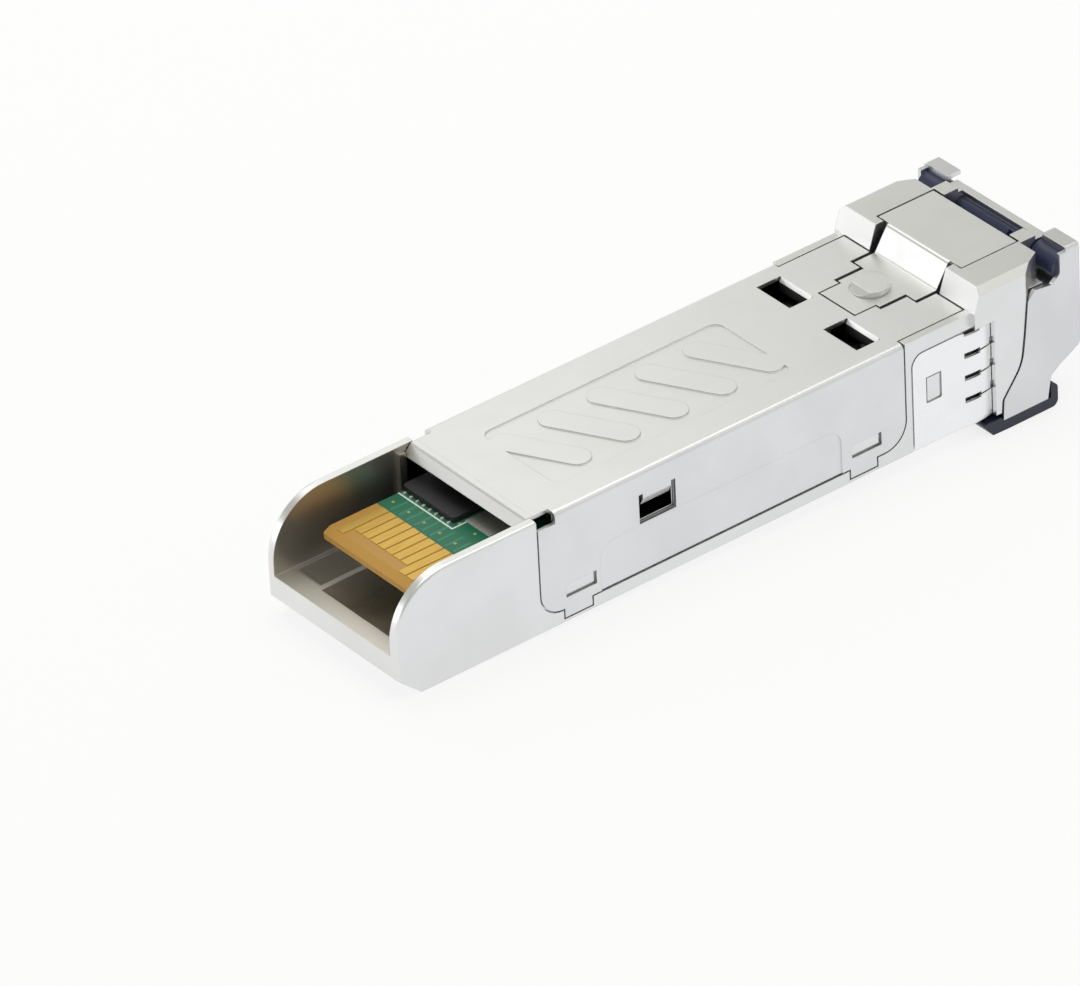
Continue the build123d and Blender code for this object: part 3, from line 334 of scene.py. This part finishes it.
# painted light: the shaft gets a lighter, bluer copy of the grip's navy plastic, making up for the
# shade it sits in
shaft_plastic_painted_lighter = moulded_plastic("moulded_navy_shaft_plastic", "#293050", "#222842", 0.36)
chip_resin = moulded_plastic("black_moulding_resin", "#19191B", "#202022", 0.55, 0.05)
heat_pad = moulded_plastic("soft_grey_silicone_pad", "#8E98A6", "#87909D", 0.7, 0.15)
zirconia = moulded_plastic("ground_zirconia_ceramic", "#EDEBE2", "#E6E3D8", 0.25, 0.05)
capacitor_body = moulded_plastic("fired_ceramic_capacitor", "#A88B63", "#9C8059", 0.5)
ferrite = moulded_plastic("fired_ferrite", "#35353A", "#2D2D31", 0.6)
amber_film = moulded_plastic("amber_polyimide_film", "#B5781F", "#A86C18", 0.35, 0.2)
print("plastics and ceramics ready")

# %% [markdown]
# The remaining metals are small. Barrels and pins are turned or drawn steel, the laser and
# detector cans are dull nickel over iron alloy, and the ground pad is tin on copper. One noise
# varies tone and roughness together, as handling and plating do.

# %% Small metals


def plain_metal(name, base, tint, rough, spacing_mm=0.05):
    """Plated or turned metal: a noise of spacing_mm in its tone and roughness."""
    material, tree, shader, here = start(name)
    uneven = noise(tree, here, spacing_mm, 2.0)
    tone = blend(tree, uneven, colour(base), colour(tint))
    roughness = spread(tree, uneven, result=(rough - 0.06, rough + 0.06))
    finish_with(tree, shader, 1.0, tone=tone, roughness=roughness)
    return material


nickel_can = plain_metal("dull_nickel_can", "#5F5F60", "#555557", 0.40)
turned_steel = plain_metal("turned_stainless_steel", "#C4C3C0", "#B8B7B3", 0.28)
pin_steel = plain_metal("polished_steel_pin", "#BEBEBD", "#B2B2B1", 0.2)
spring_steel = plain_metal("spring_strip_steel", "#A7A7AA", "#9C9CA0", 0.32)
tinned_copper = plain_metal("dull_tinned_copper", "#C9C9C1", "#BDBDB5", 0.6, 0.2)
print("small metals ready")

# %% [markdown]
# The contacts are hard gold over nickel. Each time the module is plugged in, the springs of the
# cage's connector wipe along them, which leaves fine lines in x on each contact. A noise that is
# stretched 40 times along x, sharpened into lines, gives that wear.

# %% Wiped gold contacts
CONTACT_PITCH_MM = 0.8
WIPE_MM = 0.05


def wiped_gold(name, base, worn, rough):
    """Gold plating with wipe lines WIPE_MM apart and 40 times as long, along X."""
    material, tree, shader, here = start(name)
    lines = lines_along_x(tree, here, WIPE_MM, 40 * WIPE_MM, 2.0)
    tone = blend(tree, spread(tree, lines, (0.5, 0.7)), colour(base), colour(worn))
    roughness = spread(tree, lines, result=(rough - 0.08, rough + 0.08))
    normal = relief(tree, lines, 0.3, 0.002)
    finish_with(tree, shader, 1.0, tone=tone, roughness=roughness, normal=normal)
    return material


gold_contact = wiped_gold("gold_plated_contact", "#D6B15D", "#C29B4B", 0.38)
print("contacts every", CONTACT_PITCH_MM, "mm")

# %% [markdown]
# The circuit board is woven glass and epoxy. Its tongue is left bare behind and between the
# contacts, tan, with the weave just showing, and the rest carries green solder mask over copper.
# The mask lies a little higher over the copper tracks, one from each contact, so the tracks show
# as paler green lines. White marking ink outlines the chip. All of these are drawn from their
# coordinates in millimetres: a step in x for the mask, a wave in y for the tracks, a grid of dots
# for the vias, and the difference of two boxes for the outline.

# %% What is drawn on the board
MASK_START_MM = 7.35
WEAVE_MM = 0.45
TRACK_MM = 0.2
VIA_PITCH_MM = 1.6
VIA_MM = 0.22
CHIP_LOW, CHIP_HIGH = (9.5, -0.6, 6.25), (12.8, 4.8, 6.65)
BOARD_SKIN = (6.2, 6.3)


def on_board(tree, here, low, high):
    """A region of the board's upper skin between two corners, each an x and a y in millimetres."""
    return within(tree, here, (*low, BOARD_SKIN[0]), (*high, BOARD_SKIN[1]))


def ripple(tree, value, period_mm):
    """A wave of that period: sin(2 pi value / period)."""
    angle = calc(tree, "MULTIPLY", value, 2 * math.pi / (period_mm * MM))
    return calc(tree, "SINE", angle)


def copper_tracks(tree, here, y):
    """1 on the tracks between contacts and vias: the crests of a wave in y, TRACK_MM wide."""
    crest = math.cos(math.pi * TRACK_MM / CONTACT_PITCH_MM)
    track = spread(tree, ripple(tree, y, CONTACT_PITCH_MM), (crest - 0.1, crest))
    return calc(tree, "MULTIPLY", track, on_board(tree, here, (7.6, -4.0), (9.1, 4.0)))


def plated_vias(tree, here):
    """1 on a grid of dots: the distance from the middle of each cell of VIA_PITCH_MM."""
    pitch = VIA_PITCH_MM * MM
    snapped = vector(tree, "SNAP", here, (pitch, pitch, 1.0))
    flat = vector(tree, "MULTIPLY", vector(tree, "SUBTRACT", here, snapped), (1, 1, 0))
    ends = {0: flat, 1: (pitch / 2, pitch / 2, 0)}
    apart = add(tree, "ShaderNodeVectorMath", ends, operation="DISTANCE").outputs["Value"]
    dot = spread(tree, apart, (VIA_MM * 0.45 * MM, VIA_MM * 0.55 * MM), (1.0, 0.0))
    return calc(tree, "MULTIPLY", dot, on_board(tree, here, (8.0, -5.0), (34.0, 5.0)))


def chip_outline(tree, here, inner_mm=0.3, outer_mm=0.42):
    """1 on the ink line round the chip: the larger box less the smaller one."""
    boxes = []
    for grow in (outer_mm, inner_mm):
        low = [v - grow for v in CHIP_LOW[:2]]
        high = [v + grow for v in CHIP_HIGH[:2]]
        boxes.append(on_board(tree, here, low, high))
    return calc(tree, "SUBTRACT", *boxes)


print("tracks", TRACK_MM, "mm wide, vias every", VIA_PITCH_MM, "mm")

# %% [markdown]
# The board's material lays these over one another in the order in which a board is made: cloth,
# mask, plated vias and ink. Only the tracks lift the surface.

# %% Circuit board


def circuit_board(name):
    """Bare laminate behind MASK_START_MM, then green mask with tracks, vias and an outline."""
    material, tree, shader, here = start(name)
    x, y, _ = add(tree, "ShaderNodeSeparateXYZ", {0: here}).outputs
    masked = calc(tree, "GREATER_THAN", x, place(MASK_START_MM, 0, 0)[0])
    weave = calc(tree, "MULTIPLY", ripple(tree, x, WEAVE_MM), ripple(tree, y, WEAVE_MM))
    cloth = spread(tree, weave, (-1.0, 1.0))
    track = copper_tracks(tree, here, y)
    bare = blend(tree, cloth, colour("#BA8B39"), colour("#B78836"))
    green = blend(tree, cloth, colour("#0F6A4B"), colour("#0E6648"))
    green = blend(tree, track, green, colour("#1F8262"))
    tone = blend(tree, masked, bare, green)
    tone = blend(tree, plated_vias(tree, here), tone, colour("#B59B58"))
    tone = blend(tree, chip_outline(tree, here), tone, colour("#DDE4E0"))
    normal = relief(tree, track, 1.0, 0.02)
    finish_with(tree, shader, 0.0, tone=tone, normal=normal)
    shader.inputs["Roughness"].default_value = 0.38
    return material


board = circuit_board("glass_epoxy_board")
print("board ready, mask from x", MASK_START_MM, "mm")

# %% [markdown]
# Each CAD node keeps its mesh and gets its finish through its material slots, so this table is also
# the list of what each piece is made of.

# %% Dress the CAD nodes
finishes = {
    "base_housing": casting,
    "sheet_cover": cover_metal,
    "emi_collar": collar_metal,
    "latch_rocker": latch_metal,
    "rocker_pin": pin_steel,
    "latch_spring": spring_steel,
    "bail_frame": bail_metal,
    "bail_handle": grip_plastic,
    "bail_cam_shaft": shaft_plastic_painted_lighter,
    "lc_receptacle": grip_plastic,
    "optics_holder": turned_steel,
    "tosa_barrel": turned_steel,
    "rosa_barrel": turned_steel,
    "tosa_sleeve": zirconia,
    "rosa_sleeve": zirconia,
    "tosa_can": nickel_can,
    "rosa_can": nickel_can,
    "tosa_flex": amber_film,
    "rosa_flex": amber_film,
    "main_pcb": board,
    "edge_pads_top": gold_contact,
    "edge_pads_bottom": gold_contact,
    "ground_pad": tinned_copper,
    "controller_ic": chip_resin,
    "thermal_pad": heat_pad,
    "laser_driver_ic": chip_resin,
    "limiting_amp_ic": chip_resin,
    "memory_ic": chip_resin,
    "decoupling_capacitors": capacitor_body,
    "filter_inductors": ferrite,
}
for name, material in finishes.items():
    slots = nodes[name].data.materials
    slots.clear()
    slots.append(material)
print("dressed", len(finishes), "nodes")

# %% [markdown]
# A low black chip sits on the board just under the cover's lip. It is too small a thing for the
# CAD model, so it is built here: a rounded rectangle is drawn as one ring of points, the ring is
# lifted and drawn in as it rises, as a moulded body tapers so that it leaves its mould, and the
# two ends are closed.

# %% Chip under the lip


def moulded_block(low, high, corner, draft, edge, around):
    """Points and faces of a tapered block, sizes in millimetres.

    A point of the ring at angle t is (a |cos t|^(2/c), b |sin t|^(2/c)) with the signs of cos and
    sin, where a and b are half the block's sides and c is corner. The sides lean in by draft, and
    over the last stretch of the height, edge long, the rim turns in by another edge.
    """
    low, high = np.array(low, float), np.array(high, float)
    centre, half = (low + high) / 2, (high - low) / 2
    angle = (np.arange(around) + 0.5) * 2 * np.pi / around
    wave = np.stack([np.cos(angle), np.sin(angle)], axis=-1)
    ring = np.sign(wave) * np.abs(wave) ** (2 / corner)
    height = high[2] - low[2]
    lift = np.array([0.0, height - edge, height - 0.3 * edge, height])
    inset = np.array([0.0, draft, draft + 0.3 * edge, draft + edge])
    flat = centre[:2] + ring[None] * (half[:2] - inset[:, None, None])
    z = np.broadcast_to((low[2] + lift)[:, None, None], (*flat.shape[:2], 1))
    rings = np.concatenate([flat, z], axis=-1).reshape(-1, 3)
    poles = np.array([[*centre[:2], low[2]], [*centre[:2], high[2]]])
    points = np.array(place(*np.concatenate([rings, poles]).T)).T
    here = np.arange(around)
    after = (here + 1) % around
    between = np.stack([here, after, around + after, around + here], 1)
    walls = np.concatenate([between + ring_start for ring_start in around * np.arange(3)])
    base = np.stack([np.full(around, 4 * around), after, here], 1)
    cap = np.stack([np.full(around, 4 * around + 1), 3 * around + here, 3 * around + after], 1)
    return points, [*walls.tolist(), *base.tolist(), *cap.tolist()]


def piece_from(name, points, faces, material):
    """A mesh object at the origin with its place in its points."""
    mesh = bpy.data.meshes.new(name)
    mesh.from_pydata(points.tolist(), [], faces)
    mesh.materials.append(material)
    piece = bpy.data.objects.new(name, mesh)
    bpy.context.scene.collection.objects.link(piece)
    return piece


chip_points, chip_faces = moulded_block(
    CHIP_LOW, CHIP_HIGH, corner=14, draft=0.04, edge=0.06, around=64
)
chip = piece_from("board_chip", chip_points, chip_faces, chip_resin)
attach(chip, "housing")
print("chip faces", len(chip_faces))

# %% [markdown]
# Its solder toes are the same small form again, repeated at an even pitch along the chip's two
# long edges, and joined into one mesh, because they are one finish and never move apart.

# %% Solder toes of the chip
TOE_PITCH_MM = 0.65
TOES_A_SIDE = 8
toe_points, toe_faces = [], []
for x in (CHIP_LOW[0] - 0.12, CHIP_HIGH[0] + 0.12):
    for y in CHIP_LOW[1] + 0.3 + TOE_PITCH_MM * np.arange(TOES_A_SIDE):
        low, high = (x - 0.14, y - 0.11, 6.25), (x + 0.16, y + 0.11, 6.35)
        points, faces = moulded_block(low, high, corner=8, draft=0.03, edge=0.03, around=16)
        first = len(points) * len(toe_points)
        toe_faces += [[first + i for i in face] for face in faces]
        toe_points.append(points)
toes = piece_from("board_chip_toes", np.concatenate(toe_points), toe_faces, tinned_copper)
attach(toes, "housing")
print("toes", len(toe_points))

# %% [markdown]
# The module lies on its rear edge and on the bail's grip, which reaches 1.4 mm lower, so the table
# is a plane through both lines. It is a pale sweep. For the camera and in reflections four fifths
# of it is its own even white, and one fifth is what the lamps give it, so the module's soft shadow
# still shows. Satin metal mirrors the table beside it, which is a little cooler along the module's
# near side and white elsewhere.

# %% Table
OWN_WHITE = 0.8
WHITE = (1.0, 1.0, 1.0, 1.0)
COOL_WHITE = (0.95, 0.965, 1.0, 1.0)
SHIFT_MM = 4.0
NEAR_SIDE_MM = 6.5


def white_sweep(name, base):
    """A pale matt surface: white to the camera, cool white to white in reflections.

    The tone in reflections changes over SHIFT_MM each way of two lines, the module's rear edge and
    its near side. It is cool only where the table runs along the near side.
    """
    material, tree, shader, here = start(name)
    shader.inputs["Base Color"].default_value = colour(base)
    shader.inputs["Roughness"].default_value = 0.9
    x, y, _ = add(tree, "ShaderNodeSeparateXYZ", {0: here}).outputs
    behind = calc(tree, "ADD", calc(tree, "MULTIPLY", x, -1.0), place(0, 0, 0)[0])
    beyond = calc(tree, "ADD", y, NEAR_SIDE_MM * MM)
    away = calc(tree, "MAXIMUM", behind, beyond)
    seen = blend(tree, spread(tree, away, (-SHIFT_MM * MM, SHIFT_MM * MM)), COOL_WHITE, WHITE)
    rays = add(tree, "ShaderNodeLightPath").outputs
    lit = blend(tree, rays["Is Camera Ray"], seen, WHITE)
    glow = add(tree, "ShaderNodeEmission", {"Color": lit, "Strength": 1.0}).outputs[0]
    mirrored = calc(tree, "MAXIMUM", rays["Is Glossy Ray"], rays["Is Transmission Ray"])
    looked_at = calc(tree, "MAXIMUM", mirrored, rays["Is Camera Ray"])
    share = calc(tree, "MULTIPLY", looked_at, OWN_WHITE)
    both = add(tree, "ShaderNodeMixShader", {0: share, 1: shader.outputs[0], 2: glow}).outputs[0]
    tree.links.new(both, tree.nodes["Material Output"].inputs["Surface"])
    return material


GRIP_X, REAR_X = 51.0, 1.8
SPAN_MM = 600.0
CLEAR_MM = 0.02
slope = FACE_TO_ORIGIN / (GRIP_X - REAR_X)
corners = []
for x in (-SPAN_MM, SPAN_MM):
    for y in (-SPAN_MM, SPAN_MM):
        corners.append(place(x, y, -(x - REAR_X) * slope - CLEAR_MM))
table_mesh = bpy.data.meshes.new("table")
table_mesh.from_pydata(corners, [], [(0, 2, 3, 1)])
table = bpy.data.objects.new("table", table_mesh)
bpy.context.scene.collection.objects.link(table)
table_mesh.materials.append(white_sweep("matt_white_table", "#F4F4F4"))
print("table slope", round(math.degrees(slope), 2), "degrees")

# %% [markdown]
# Satin metal only looks as bright as what it mirrors, so the room is built for what each face
# looks at. The top faces look high into the room, which is a warm grey there, and the upright
# faces look low, where the horizon is a paler, cooler white. A room with one even brightness would
# make every face of the module the same grey. The gradient comes from the direction's height
# alone, so it holds from every side, and the camera itself sees plain white.

# %% Room
world = bpy.data.worlds.new("pale_room")
bpy.context.scene.world = world
world.use_nodes = True
room = world.node_tree
room.nodes.clear()
way = add(room, "ShaderNodeTexCoord").outputs["Generated"]
height = add(room, "ShaderNodeSeparateXYZ", {0: way}).outputs[2]
HORIZON, HIGH_UP = 0.05, 0.5
sky = blend(room, spread(room, height, (HORIZON, HIGH_UP)), colour("#F3F6FB"), colour("#BFBFB8"))
rays = add(room, "ShaderNodeLightPath").outputs
mirrored = add(room, "ShaderNodeBackground", {"Color": sky, "Strength": 1.0}).outputs[0]
white = add(room, "ShaderNodeBackground", {"Color": WHITE, "Strength": 1.0}).outputs[0]
shares = {0: rays["Is Camera Ray"], 1: mirrored, 2: white}
mixed = add(room, "ShaderNodeMixShader", shares).outputs[0]
add(room, "ShaderNodeOutputWorld", {"Surface": mixed})
print("room ready")

# %% [markdown]
# Four softboxes finish it. The one overhead lights the plastics and the board. The far one is what
# the top faces mirror, strongest at the electrical end. The one low at the far left fills the
# rocker's ramp and the cover's lip with white, and the near one brightens the edges along the
# side. Each is described by how bright its face is, so its power follows from its size.

# %% Softboxes


def soft_lamp(name, position, aim, width_mm, height_mm, radiance):
    """An area lamp at a point, aimed at another, both in millimetres, with that radiance.

    Its power in watts is radiance times pi times its area in square metres.
    """
    data = bpy.data.lights.new(name, "AREA")
    data.shape = "RECTANGLE"
    data.size, data.size_y = width_mm * MM, height_mm * MM
    data.energy = radiance * math.pi * data.size * data.size_y
    lamp = bpy.data.objects.new(name, data)
    bpy.context.scene.collection.objects.link(lamp)
    lamp.location = place(*position)
    way = Vector(place(*position)) - Vector(place(*aim))
    lamp.rotation_euler = way.to_track_quat("Z", "Y").to_euler()
    return data.energy


MIDDLE = (28, 0, 4)
for name, position, width_mm, height_mm, radiance in (
    ("overhead_softbox", (60, 40, 420), 400, 400, 1.6),
    ("far_softbox", (76, 197, 173), 200, 200, 0.56),
    ("far_left_softbox", (-215, 205, 52), 220, 100, 1.35),
    ("near_softbox", (200, -194, 240), 220, 220, 0.42),
):
    watts = soft_lamp(name, position, MIDDLE, width_mm, height_mm, radiance)
    print(name, round(watts, 3), "W")

# %% [markdown]
# Last, the colour view is set to Standard.

# %% Colour view
bpy.context.scene.view_settings.view_transform = "Standard"
